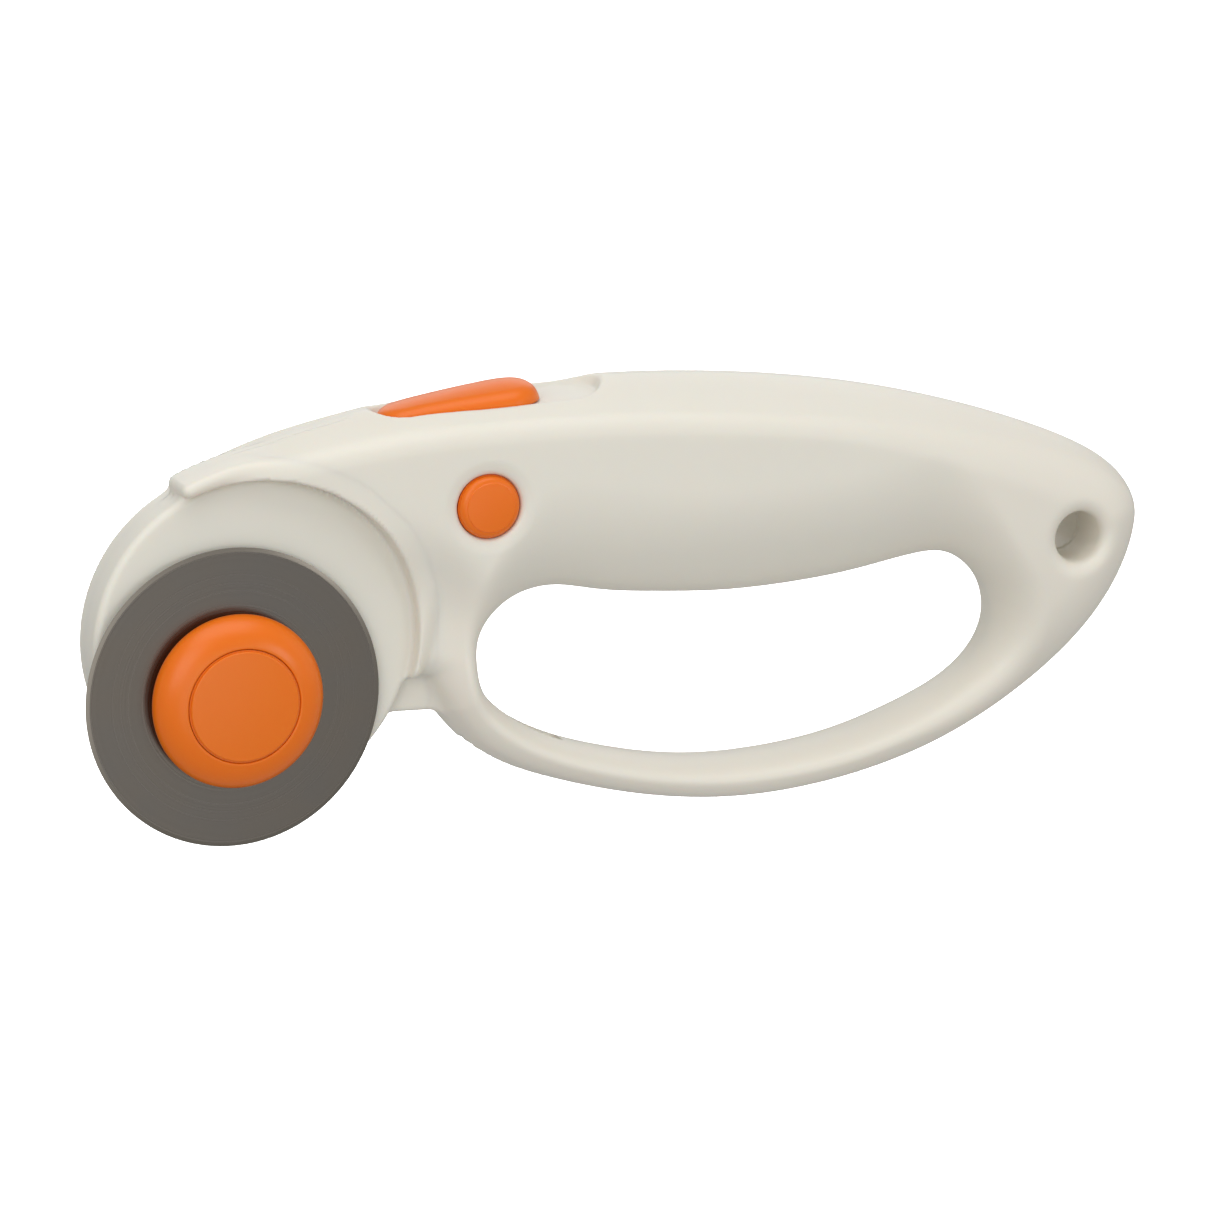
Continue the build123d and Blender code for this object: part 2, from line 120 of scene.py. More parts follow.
# Roundings where the handle's parts meet or a hole starts
LIP_BLEND, WEB_BLEND, TRAY_BLEND, HANG_BLEND, LOCK_BLEND = 1.6, 1.6, 1.8, 2.8, 1.0
# Step inside the hang hole where the two halves meet
HANG_STEP = 0.12
BEVEL = 0.6
# Height of the slide along its ridge
RIDGE_A = [-12.7, -11.4, -9.7, -7.8, -4.1, 0.5, 5.0, 9.1, 10.5, 11.8, 12.7]
RIDGE_C = [0.35, 0.8, 1.3, 1.6, 1.95, 2.3, 2.55, 2.5, 2.2, 1.5, 0.7]

NOSE = (-141.0, 16.4)
TOP = [NOSE, (-140.6, 17.6), (-139.4, 18.5), (-137.2, 19.3), (-133.4, 20.7), (-124.2, 23.7),
       (-114.9, 25.7), (-108.7, 26.8), (-95.0, 28.2),
       (-80.6, 28.9), (-66.4, 28.7), (-50.3, 27.4), (-34.0, 24.9), (-17.6, 20.8), (-3.8, 16.0),
       (4.0, 12.4), (9.6, 8.2), (12.0, 3.8), (11.8, -0.6), (9.9, -6.3), (5.25, -13.7),
       (-6.1, -23.85), (-20.6, -31.7), (-37.0, -36.25), (-53.3, -37.6), (-66.3, -36.3),
       (-82.3, -32.2), (-91.6, -28.4), (-96.8, -24.7), (-99.1, -22.2), (-101.0, -19.8)]
NOSE_FOOT, LIP_TIP = (-140.3, 14.8), (-103.2, -14.6)
LOOP = [(-95.1, -13.0), (-94.6, -8.5), (-91.6, -5.0), (-87.1, -2.9), (-82.5, -2.4), (-76.0, -3.5),
        (-66.0, -4.7), (-56.6, -5.3), (-46.0, -5.1), (-34.0, -3.9), (-25.0, -2.4), (-19.2, -2.4),
        (-14.8, -4.9), (-11.6, -9.2), (-11.0, -13.8), (-14.6, -19.8), (-22.8, -24.9),
        (-35.1, -29.1), (-47.4, -30.9), (-59.8, -30.9), (-74.3, -28.2), (-85.1, -24.3),
        (-90.8, -20.6), (-94.0, -17.0)]
CAVITY = [(-136.5, 14.5), (-125, 19.3), (-110, 22.3), (-97.6, 23.8), (-78, 25.2), (-60, 25.2),
          (-42, 22.6), (-27, 17.5), (-21, 10.5), (-27, 3.0), (-42, -1.0), (-62, -1.6), (-76, -0.2),
          (-88, 1.0), (-98, 1.0), (-107, 2.0), (-116, 5.0), (-127, 11.0)]
WEB = [(-110.0, -19.3), (-99.5, -19.6), (-99.5, -10.0), (-110.0, -10.0)]
WEB_Y, WEB_HALF, WEB_FRONT, WEB_REACH = 0.25, 3.25, -3.4, 30
# Half thickness of the handle at the crease, along X
HALF_X = [-145, -141, -125, -110, -95, -78, -58, -35, -15, 0, 14]
HALF_Y = [7.4, 7.7, 8.6, 9.9, 11.0, 12.0, 12.7, 12.5, 11.4, 10.3, 9.4]
# Half thickness of the handle by height: slim on the bar of the loop, full at the crease
HALF_Z = [-40, -30, -20, -10, 0, 10]
HALF_Z_Y = [6.6, 7.2, 8.4, 10.4, 12.4, 14]
SCREWS = [(-64.0, 12.0), (-28.0, 9.0), (-98.6, -14.6), (-6.0, -16.0)]
GUARD_SCREWS = [(-147.5, -9.0), (-113.5, -10.0)]
# Of a screw: radii of its boss, hole and head hole, depths of both holes, edge of the head hole
BOSS_R, SCREW_R, HEAD_R, SCREW_Y, HEAD_Y, HEAD_EDGE = 3.4, 1.4, 2.9, -3.8, 2.3, 0.5
GUARD_BOSS_R, GUARD_SCREW_R, GUARD_HEAD_R = 2.8, 1.15, 2.4
GUARD_SCREW_Y, GUARD_HEAD_Y, GUARD_HEAD_EDGE = -3.3, 2.4, 0.3


# ---- Curves and distance fields ----------------------------------------------------------

def spline(points, closed=False, step=0.6):
    """Cubic spline through the points, sampled about every step millimetres."""
    p = np.array(points, float)
    if closed:
        p = np.vstack([p, p[:1]])
    gaps = np.linalg.norm(np.diff(p, axis=0), axis=1)
    n = len(p)
    a, b = np.zeros((n, n)), np.zeros((n, 2))
    for i in range(1, n - 1):
        a[i, i - 1:i + 2] = gaps[i - 1], 2 * (gaps[i - 1] + gaps[i]), gaps[i]
        b[i] = 6 * ((p[i + 1] - p[i]) / gaps[i] - (p[i] - p[i - 1]) / gaps[i - 1])
    a[0, 0] = a[-1, -1] = 1
    if closed:
        a[0, 0], a[0, -1] = 1, -1
        a[-1, [0, 1, -2, -1]] = 2 * gaps[0], gaps[0], gaps[-1], 2 * gaps[-1]
        b[-1] = 6 * ((p[1] - p[0]) / gaps[0] - (p[-1] - p[-2]) / gaps[-1])
    bend = np.linalg.solve(a, b)
    out = []
    for i, gap in enumerate(gaps):
        t = np.linspace(0, 1, max(2, int(gap / step)), endpoint=False)[:, None]
        r = 1 - t
        out.append(r * p[i] + t * p[i + 1]
                   + ((r ** 3 - r) * bend[i] + (t ** 3 - t) * bend[i + 1]) * gap ** 2 / 6)
    if not closed:
        out.append(p[-1:])
    return np.vstack(out)


FIELD_STEP = 0.4
FX = np.arange(-162, 20, FIELD_STEP)
FZ = np.arange(-44, 38, FIELD_STEP)
FGX, FGZ = np.meshgrid(FX, FZ, indexing="ij")


def inside_distance(polygon):
    """Signed distance to a closed outline on the field's grid, positive inside."""
    nearest = np.full(FGX.shape, 1e9)
    inside = np.zeros(FGX.shape, bool)
    for (x0, z0), (x1, z1) in zip(polygon, np.roll(polygon, -1, axis=0)):
        dx, dz = x1 - x0, z1 - z0
        long = dx * dx + dz * dz
        if long < 1e-12:
            continue
        t = np.clip(((FGX - x0) * dx + (FGZ - z0) * dz) / long, 0, 1)
        nearest = np.minimum(nearest, (FGX - x0 - t * dx) ** 2 + (FGZ - z0 - t * dz) ** 2)
        if z0 != z1:
            crosses = (z0 > FGZ) != (z1 > FGZ)
            inside ^= crosses & (FGX < dx * (FGZ - z0) / dz + x0)
    return np.where(inside, 1, -1) * np.sqrt(nearest)


def sample(field, x, z):
    """Bilinear value of a grid field at points."""
    u = np.clip((x - FX[0]) / FIELD_STEP, 0, len(FX) - 1.001)
    w = np.clip((z - FZ[0]) / FIELD_STEP, 0, len(FZ) - 1.001)
    i, k = u.astype(int), w.astype(int)
    u, w = u - i, w - k
    return ((field[i, k] * (1 - u) + field[i + 1, k] * u) * (1 - w)
            + (field[i, k + 1] * (1 - u) + field[i + 1, k + 1] * u) * w)


def smooth_step(x, low, high):
    """Smooth rise from 0 at low to 1 at high."""
    t = np.clip((x - low) / (high - low), 0, 1)
    return t * t * (3 - 2 * t)


def soft_max(a, b, k):
    """Larger of two, rounded over k."""
    h = np.clip(1 - np.abs(a - b) / k, 0, 1)
    return np.maximum(a, b) + h * h * k / 4


def soft_min(a, b, k):
    """Smaller of two, rounded over k."""
    return -soft_max(-a, -b, k)


def blur(field, rounds):
    """Grid field with its kinks evened out."""
    for _ in range(rounds):
        padded = np.pad(field, 1, mode="edge")
        field = (padded[:-2, 1:-1] + padded[2:, 1:-1] + padded[1:-1, :-2] + padded[1:-1, 2:]
                 + 4 * field) / 8
    return field


outline = np.vstack([spline(TOP), [LIP_TIP, (GUARD[0], GUARD[2]), NOSE_FOOT]])
OUTER = inside_distance(outline)
LOOP_OUT = -inside_distance(spline(LOOP, closed=True))
HOLLOW = inside_distance(spline(CAVITY, closed=True))
WEB_IN = inside_distance(np.array(WEB))
GUARD_DISTANCE = np.hypot(FGX - GUARD[0], FGZ - GUARD[2])

BLUR_ROUNDS = 30
# Half thickness: full along the grip, thinner towards the loop's bar and beside the lip
half = np.interp(FGX, HALF_X, HALF_Y)
half = soft_min(half, np.interp(FGZ, HALF_Z, HALF_Z_Y), 2)
beside_lip = 6.8 + smooth_step(GUARD_DISTANCE, 27, 42) * 6 + smooth_step(FGZ, -6, 16) * 4.5
HALF = blur(soft_min(half, beside_lip, 1.5), BLUR_ROUNDS)
# Radius of the rounding towards the finger loop: wide under the grip, narrow on the bar
above = smooth_step(FGZ, -14, 2)
ROUND = blur(3.4 + above * 14.6 * smooth_step(FGX, -104, -84) * (1 - smooth_step(FGX, -26, -8))
             + 2.8 * smooth_step(FGX, -30, -10), BLUR_ROUNDS)
# Rounding of the crease between the top and the sides
CREASE = 2.2 + 3.0 * smooth_step(FGX, -45, 0) + 0.6 * smooth_step(-FGZ, -5, 15)


def body(x, y, z):
    """Outer surface of the handle without the guard: negative inside."""
    d, e = sample(OUTER, x, z), sample(LOOP_OUT, x, z)
    h, r = sample(HALF, x, z), sample(ROUND, x, z)
    d = d - GROOVE * (1 - smooth_step(np.abs(y), *GROOVE_HALF)) * (1 - smooth_step(x, *GROOVE_END))
    # The roof is a hyperbola across the handle, divided by its slope so that it is nearly a distance
    arm = np.sqrt(y * y + ROOF_R ** 2)
    top = (ROOF * (arm - ROOF_R) - d) / np.sqrt(1 + (ROOF * y / arm) ** 2)
    # The flank is a quarter of an ellipse from the loop's edge up to the full thickness
    t = np.clip(1 - e / r, 0, None)
    steep = r * np.sqrt((t / r) ** 2 + (y / h ** 2) ** 2)
    least_steep = 0.35
    flank = (t * t + (y / h) ** 2 - 1) * r / 2 / np.maximum(steep, least_steep)
    return soft_max(top, flank, sample(CREASE, x, z))


def drum(x, y, z, at, r, y0, y1, edge):
    """Cylinder along Y with rounded edges."""
    a = np.hypot(x - at[0], z - at[2]) - (r - edge)
    b = np.abs(y - (y0 + y1) / 2) - ((y1 - y0) / 2 - edge)
    return np.hypot(np.maximum(a, 0), np.maximum(b, 0)) + np.minimum(np.maximum(a, b), 0) - edge


def lip(x, y, z):
    """Roll round the recess, with round ends. Its lower end curls inwards."""
    turn = np.clip(np.arctan2(z - GUARD[2], x - GUARD[0]), LIP_FROM, LIP_TO)
    slim = smooth_step(turn, SLIM_FROM, LIP_TO)
    r = LIP_R - LIP_CURL * smooth_step(-turn, -CURL_FROM, -LIP_FROM) - LIP_SLIM_R * slim
    wire = LIP_WIRE - LIP_SLIM_WIRE * slim
    cx, cz = GUARD[0] + r * np.cos(turn), GUARD[2] + r * np.sin(turn)
    flat = np.hypot(x - cx, z - cz)
    return np.hypot(flat, np.minimum(y - (LIP_FRONT + wire), 0)) - wire


def in_slide(x, y, z, origin):
    """Coordinates along, across and above the channel."""
    dx, dz = x - origin[0], z - origin[2]
    return dx * BACK[0] + dz * BACK[2], y, dz * BACK[0] - dx * BACK[2]


# Middle of the tray at rest, at the height of the slide's edge
EDGE_HEIGHT = 8.65
TRAY = np.array([(SLIDE_LOW[0] + SLIDE_HIGH[0]) / 2, 0.0, SLIDE_LOW[2] + EDGE_HEIGHT]) + BACK * TRAY_BACK
RIDGE = spline(list(zip(RIDGE_A, RIDGE_C)), step=0.2)


def slide_width(a):
    """Half width of the slide, which flares towards the rear."""
    return SLIDE_W + SLIDE_FLARE * smooth_step(a, -SLIDE_HALF, FLARE_END)


def channel(x, y, z):
    """Tray for the slide: wider at the rear, with a floor that rises at its end like a scoop."""
    a, b, c = in_slide(x, y, z, TRAY)
    r = slide_width(a) + GAP
    past = a - np.clip(a, r - SLIDE_HALF - GAP, SLIDE_HALF + TRAVEL + GAP - r)
    end = SLIDE_HALF + TRAVEL
    rise = TRAY_FLOOR + SCOOP * smooth_step(a, end + SCOOP_START, end + SCOOP_END)
    return soft_max(np.hypot(past, b) - r, rise - c, 1.2)


def stem_slot(x, y, z):
    """Straight slot for the stem under the slide. It has no lower end: it goes on through the loop's bar."""
    a, b, c = in_slide(x, y, z, TRAY)
    sides = np.maximum(np.abs(a - (TRAVEL / 2 + STEM_SHIFT)) - STEM_HALF, np.abs(b) - STEM_W)
    return np.maximum(sides, c - 1)


def slide_cap(x, y, z):
    """Thumb slide: low tapered front, high rounded rear, crowned across."""
    a, b, c = in_slide(x, y, z, TRAY)
    half = slide_width(a)
    past = a - np.clip(a, half - SLIDE_HALF, SLIDE_HALF - half)
    height = np.interp(a, RIDGE[:, 0], RIDGE[:, 1]) - SLIDE_CROWN * b * b
    side = np.hypot(past, b) - half
    return np.maximum(soft_max(side, c - height, 1.8), TRAY_FLOOR + 0.15 - c)


def capsule_xz(x, z, start, end, r):
    """Distance to a straight slot seen along Y."""
    dx, dz = end[0] - start[0], end[2] - start[2]
    t = np.clip(((x - start[0]) * dx + (z - start[2]) * dz) / (dx * dx + dz * dz), 0, 1)
    return np.hypot(x - start[0] - t * dx, z - start[2] - t * dz) - r


def bars(x, z, places, r):
    """Distance to the nearest of some round bars along Y."""
    return np.min([np.hypot(x - px, z - pz) - r for px, pz in places], axis=0)


def handle(x, y, z):
    """Both shells as one solid: skin, hollow, bosses, holes. Negative inside."""
    outside = body(x, y, z)
    far = 9.0
    solid = soft_min(outside, np.where(y < 0, lip(x, y, z), far), LIP_BLEND)
    r_guard = np.hypot(x - GUARD[0], z - GUARD[2])
    solid = soft_max(solid, GUARD_R + GUARD_GAP - r_guard, 0.5)
    web = soft_max(-sample(WEB_IN, x, z), np.abs(y - WEB_Y) - WEB_HALF, 1.0)
    guard = drum(x, y, z, GUARD, GUARD_R, GUARD_FRONT, GUARD_BACK, GUARD_EDGE)
    # The guard melts into the rest: widely from the nose on, less beside the neck, hardly in between
    turn = np.arctan2(z - GUARD[2], x - GUARD[0])
    melt = 0.5 + 2.2 * smooth_step(turn, 1.95, 2.15) + 0.9 * (1 - smooth_step(turn, 0.1, 1.3))
    solid = soft_min(soft_min(solid, web, WEB_BLEND), guard, melt)

    thin = np.maximum(GUARD_FRONT + GUARD_WALL - y, y - (GUARD_BACK - GUARD_WALL))
    inner = -sample(HOLLOW, x, z)
    grip = np.maximum(np.maximum(outside + WALL, inner), GUARD_R + WALL - r_guard)
    hollow = np.minimum(np.minimum(grip, np.maximum(inner, thin)),
                        np.maximum(r_guard - (GUARD_R - GUARD_WALL), thin))
    # Tubes round the lock's bolt, one on each side of the slide's plate, and bosses for the screws
    lock = np.hypot(x - LOCK[0], z - LOCK[2])
    tube = np.maximum(lock - (LOCK_HOLE_R + LOCK_TUBE), np.minimum(y - TUBE_FRONT, TUBE_BACK - y))
    hollow = np.maximum(hollow, -tube)
    hollow = np.maximum(hollow, -bars(x, z, SCREWS, BOSS_R))
    hollow = np.maximum(hollow, -bars(x, z, GUARD_SCREWS, GUARD_BOSS_R))
    solid = np.maximum(solid, -hollow)

    solid = solid + LOCK_DISH * (1 - smooth_step(lock, LOCK_HOLE_R, LOCK_DISH_R))
    solid = soft_max(solid, LOCK_HOLE_R - lock, LOCK_BLEND)
    solid = soft_max(solid, HOLE_R + np.where(y < 0, HANG_STEP, 0) - np.hypot(x, z), HANG_BLEND)
    solid = soft_max(solid, -channel(x, y, z), TRAY_BLEND)
    solid = np.maximum(solid, -stem_slot(x, y, z))
    slot = np.maximum(capsule_xz(x, z, AXLE, GUARD, AXLE_SLOT_R), y - AXLE_SLOT_BACK)
    solid = np.maximum(solid, -slot)
    solid = np.maximum(solid, -np.maximum(bars(x, z, SCREWS, SCREW_R), SCREW_Y - y))
    solid = np.maximum(solid, -np.maximum(bars(x, z, GUARD_SCREWS, GUARD_SCREW_R), GUARD_SCREW_Y - y))
    solid = soft_max(solid, -np.maximum(bars(x, z, SCREWS, HEAD_R), HEAD_Y - y), HEAD_EDGE)
    heads = np.maximum(bars(x, z, GUARD_SCREWS, GUARD_HEAD_R), GUARD_HEAD_Y - y)
    return soft_max(solid, -heads, GUARD_HEAD_EDGE)


# ---- Mesh from a field -------------------------------------------------------------------

CORNERS = np.array([(i, j, k) for i in (0, 1) for j in (0, 1) for k in (0, 1)])
EDGES = [(a, b) for a in range(8) for b in range(a + 1, 8)
         if np.abs(CORNERS[a] - CORNERS[b]).sum() == 1]


def slopes(field, points):
    """Gradient of the field at points."""
    reach = 0.06
    out = np.empty_like(points)
    for axis in range(3):
        shift = np.zeros(3)
        shift[axis] = reach
        out[:, axis] = (field(*(points + shift).T) - field(*(points - shift).T)) / (2 * reach)
    return out


def skin(field, low, high, step, rounds=3):
    """Closed quad skin where the field is zero, one point per grid cell that it crosses."""
    axes = [np.arange(a, b + step, step) for a, b in zip(low, high)]
    value = np.empty([len(a) for a in axes])
    for i, x in enumerate(axes[0]):
        gy, gz = np.meshgrid(axes[1], axes[2], indexing="ij")
        value[i] = field(np.full(gy.shape, x), gy, gz)
    inside = value < 0
    shape = np.array(value.shape) - 1
    count = np.zeros(shape, np.int8)
    for i, j, k in CORNERS:
        count += inside[i:i + shape[0], j:j + shape[1], k:k + shape[2]]
    cells = np.argwhere((count > 0) & (count < 8))
    index = np.full(shape, -1)
    index[tuple(cells.T)] = np.arange(len(cells))
    corner = [value[tuple((cells + c).T)] for c in CORNERS]
    total, hits = np.zeros((len(cells), 3)), np.zeros(len(cells))
    for a, b in EDGES:
        cut = (corner[a] < 0) != (corner[b] < 0)
        t = np.where(cut, corner[a] / np.where(cut, corner[a] - corner[b], 1), 0)
        total += cut[:, None] * (CORNERS[a] + t[:, None] * (CORNERS[b] - CORNERS[a]))
        hits += cut
    origin = np.array([a[0] for a in axes])
    points = origin + (cells + total / hits[:, None]) * step
    start = points.copy()
    for _ in range(rounds):
        slope = slopes(field, points)
        size = np.maximum((slope ** 2).sum(1), 0.05)
        points = points - slope * (field(*points.T) / size)[:, None] * 0.8
        points = start + np.clip(points - start, -0.6 * step, 0.6 * step)
    quads = []
    for axis in range(3):
        u, w = [a for a in range(3) if a != axis]
        here = [slice(None)] * 3
        here[axis] = slice(0, -1)
        there = list(here)
        there[axis] = slice(1, None)
        first, second = inside[tuple(here)], inside[tuple(there)]
        for flip, mask in ((False, first & ~second), (True, ~first & second)):
            at = np.argwhere(mask)
            at = at[(at[:, u] > 0) & (at[:, w] > 0)]
            ring = []
            for du, dw in ((1, 1), (0, 1), (0, 0), (1, 0)):
                cell = at.copy()
                cell[:, u] -= du
                cell[:, w] -= dw
                ring.append(index[tuple(cell.T)])
            quad = np.stack(ring, 1)
            quads.append(quad if flip == (axis == 1) else quad[:, ::-1])
    faces = np.vstack(quads)
    return points, faces[(faces >= 0).all(1)]


def smooth_piece(name, field, points, faces):
    """Piece from some of a skin's faces, shaded with the field's own slope."""
    used, faces = np.unique(faces, return_inverse=True)
    points = points[used]
    piece = make_mesh(name, points * MM, faces.reshape(-1, 4))
    normals = slopes(field, points)
    normals /= np.maximum(np.linalg.norm(normals, axis=1), 1e-6)[:, None]
    piece.data.normals_split_custom_set_from_vertices(normals.tolist())
    return piece


def make_mesh(name, points, faces):
    """Object with smooth faces, points in metres."""
    mesh = bpy.data.meshes.new(name)
    mesh.from_pydata(points.tolist(), [], faces.tolist())
    mesh.update()
    mesh.polygons.foreach_set("use_smooth", np.ones(len(mesh.polygons), bool))
    piece = bpy.data.objects.new(name, mesh)
    bpy.context.scene.collection.objects.link(piece)
    return piece


def lathe(name, at, profile, sharp=25, segments=192):
    """Closed shape turned about an axis along Y, from (radius, depth) points in millimetres."""
    ring = np.array(profile)
    turn = np.linspace(0, 2 * math.pi, segments, endpoint=False)[:, None]
    points = np.stack([at[0] + ring[:, 0] * np.cos(turn), 0 * turn + ring[:, 1],
                       at[2] + ring[:, 0] * np.sin(turn)], 2).reshape(-1, 3)
    n = len(ring)
    faces = [(i * n + k, i * n + (k + 1) % n, (i + 1) % segments * n + (k + 1) % n,
              (i + 1) % segments * n + k) for i in range(segments) for k in range(n)]
    piece = make_mesh(name, points * MM, np.array(faces))
    work = bmesh.new()
    work.from_mesh(piece.data)
    bmesh.ops.remove_doubles(work, verts=work.verts, dist=1e-7)
    bmesh.ops.recalc_face_normals(work, faces=work.faces)
    work.to_mesh(piece.data)
    work.free()
    piece.data.set_sharp_from_angle(angle=math.radians(sharp))
    return piece


def arc(cx, cy, r, start, stop, steps=6):
    """Points of a circular arc, angles in degrees."""
    return [(cx + r * math.cos(math.radians(t)), cy + r * math.sin(math.radians(t)))
            for t in np.linspace(start, stop, steps)]


MARGIN = 1.2
ALL_LOW, ALL_HIGH = np.array(CAD_BOUNDS[0]) / MM - MARGIN, np.array(CAD_BOUNDS[1]) / MM + MARGIN
made = []


def place(piece, body, node, material_slot):
    """Put a piece on its body, in place of its CAD node."""
    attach(piece, body)
    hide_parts(node)
    made.append((piece, material_slot))
    return piece


def build_handle():
    """One skin for the whole handle, parted at the middle plane and round the guard."""
    step = 0.5
    points, faces = skin(handle, ALL_LOW, ALL_HIGH, step)
    points[np.abs(points[:, 1]) < step * 0.3, 1] = 0
    middle = points[faces].mean(1)
    behind = middle[:, 1] > 0
    r = np.hypot(middle[:, 0] - GUARD[0], middle[:, 2] - GUARD[2])
    guard = (r < GUARD_R) | ((r < SEAM_R) & (middle[:, 1] < SEAM_Y))
    in_web = sample(WEB_IN, middle[:, 0], middle[:, 2]) > 0
    guard |= in_web & (middle[:, 1] > WEB_FRONT) & (r < WEB_REACH)
    for name, node, mine in (("front_shell_skin", "front_shell", ~behind & ~guard),
                             ("blade_guard_skin", "blade_guard", ~behind & guard),
                             ("rear_shell_skin", "rear_shell", behind)):
        place(smooth_piece(name, handle, points, faces[mine]), "housing", node, "shell")


def build_slide():
    """The slide's cap above the tray. Its stem and flange, out of sight below, are left out."""
    low, high = span("thumb_slide")
    grow, stem = 2.4, 6
    low, high = low - grow, high + grow
    low[2] += stem
    points, faces = skin(slide_cap, low, high, 0.25)
    place(smooth_piece("thumb_slide_skin", slide_cap, points, faces), "slide", "thumb_slide", "orange")


def build_blade():
    """Thin disc with a bore, ground to its edge from both sides."""
    low, high = span("blade")
    r, front, rear = (high[0] - low[0]) / 2, low[1], high[1]
    bore, edge = 4.0, 0.02
    middle = (front + rear) / 2
    profile = [(bore, rear), (bore, front), (r - BEVEL, front), (r, middle - edge), (r, middle + edge),
               (r - BEVEL, rear)]
    place(lathe("blade_skin", AXLE, profile, sharp=3), "blade", "blade", "blade_steel")


def build_nut():
    """Domed nut with a flat shelf for its cap, and the cap with a narrow seam round it."""
    low, high = span("blade_nut")
    r, face = (high[0] - low[0]) / 2, low[1]
    rear, seat, bore = -6.95, face + 1.1, 5.2
    recess_r, recess_y = 9.4, -8.5
    shelf_r, round_r = r - 4.5, 0.2
    side = [(r - 1.2, rear), (r - 0.15, -7.9), (r, -8.9), (r - 0.6, -10.2), (r - 2.0, -11.4),
            (r - 3.4, face + round_r), (r - 4.2, face)]
    dome = [tuple(p) for p in spline(side, step=0.25)]
    rim = arc(r - 4.25, face + round_r, round_r, -90, -180, 4)[1:]
    inside = [(shelf_r, seat), (bore, seat), (bore, recess_y), (recess_r, recess_y), (recess_r, rear)]
    place(lathe("blade_nut_skin", AXLE, dome + rim + inside, sharp=35), "carrier", "blade_nut", "orange")

    low, high = span("nut_cap")
    seam, r, face = r - 4.55, r - 4.75, low[1]
    shelf, round_r = face + 0.4, 0.25
    profile = ([(0, high[1]), (seam, high[1]), (seam, shelf), (r, shelf)]
               + arc(r - round_r, face + round_r, round_r, 0, -90) + [(0, face)])
    place(lathe("nut_cap_skin", AXLE, profile), "carrier", "nut_cap", "orange")


def build_lock():
    """Two buttons, crowned and round at the edge, with a collar that fills the hole."""
    collar = LOCK_HOLE_R - 0.06
    brim = sample(HALF, LOCK[:1], LOCK[2:])[0] - LOCK_DISH - 0.45
    crown_height, round_r = 0.3, 1.0
    for node, name, way in (("lock_button", "lock_button_skin", -1),
                            ("lock_rear_button", "lock_rear_button_skin", 1)):
        low, high = span(node)
        r = (high[0] - low[0]) / 2 - 0.1
        inner, face = sorted((low[1] * way, high[1] * way))
        edge = face - crown_height - round_r
        crown = [(r * t, face - crown_height * t * t) for t in np.linspace(0, 1 - round_r / r, 8)]
        top = min(brim, edge - 0.1)
        shelf = [(0, inner), (collar, inner), (collar, top), (r, top)]
        profile = shelf + arc(r - round_r, edge, round_r, 0, 84, 8) + crown[::-1]
        place(lathe(name, LOCK, [(a, way * b) for a, b in profile]), "lock", node, "orange")


build_handle()
build_slide()
build_blade()
build_nut()
build_lock()


# ---- Materials ---------------------------------------------------------------------------

def colour(r, g, b):
    """Linear colour from display values."""
    def linear(v):
        v /= 255
        return v / 12.92 if v <= 0.04045 else ((v + 0.055) / 1.055) ** 2.4
    return (linear(r), linear(g), linear(b), 1.0)


class Surface:
    """A material with its shader and short ways to add nodes to it."""

    def __init__(self, name, base, rough, metallic=0.0):
        self.mat = bpy.data.materials.new(name)
        self.mat.use_nodes = True
        self.tree = self.mat.node_tree
        self.shader = self.tree.nodes["Principled BSDF"]
        self.shader.inputs["Base Color"].default_value = base
        self.shader.inputs["Roughness"].default_value = rough
        self.shader.inputs["Metallic"].default_value = metallic
        self.place = self.add("ShaderNodeTexCoord").outputs["Object"]

    def add(self, kind, **values):
        node = self.tree.nodes.new(kind)
        for key, value in values.items():
            node.inputs[key.replace("_", " ")].default_value = value
        return node

    def link(self, out, into):
        self.tree.links.new(out, into)

    def noise(self, scale, detail=2, vector=None):
        node = self.add("ShaderNodeTexNoise", Scale=scale, Detail=detail)
        self.link(vector or self.place, node.inputs["Vector"])
        return node.outputs["Fac"]

    def spread(self, value, low, high, start=0.3, stop=0.7):
        node = self.add("ShaderNodeMapRange", From_Min=start, From_Max=stop, To_Min=low, To_Max=high)
        self.link(value, node.inputs["Value"])
        return node.outputs["Result"]

    def tint(self, factor, first, second):
        node = self.add("ShaderNodeMix")
        node.data_type = "RGBA"
        node.inputs["A"].default_value = first
        node.inputs["B"].default_value = second
        self.link(factor, node.inputs["Factor"])
        self.link(node.outputs["Result"], self.shader.inputs["Base Color"])

    def relief(self, height, distance, strength=1.0):
        node = self.add("ShaderNodeBump", Strength=strength, Distance=distance)
        self.link(height, node.inputs["Height"])
        self.link(node.outputs["Normal"], self.shader.inputs["Normal"])

    def rough(self, value):
        self.link(value, self.shader.inputs["Roughness"])


def moulded(name, base, second, rough, depth, glow=0.0, shine=0.5, reach=(1.0, 0.6, 0.35)):
    """Moulded plastic: fine spark grain, slow colour drift and small changes of gloss."""
    s = Surface(name, base, rough)
    s.shader.inputs["Specular IOR Level"].default_value = shine
    s.shader.inputs["Subsurface Weight"].default_value = glow
    s.shader.inputs["Subsurface Radius"].default_value = reach
    s.shader.inputs["Subsurface Scale"].default_value = 0.004
    s.tint(s.noise(25, 3), base, second)
    grain = s.noise(2400)
    s.rough(s.spread(s.noise(60, 4), rough - 0.04, rough + 0.05))
    s.relief(grain, depth)
    return s.mat


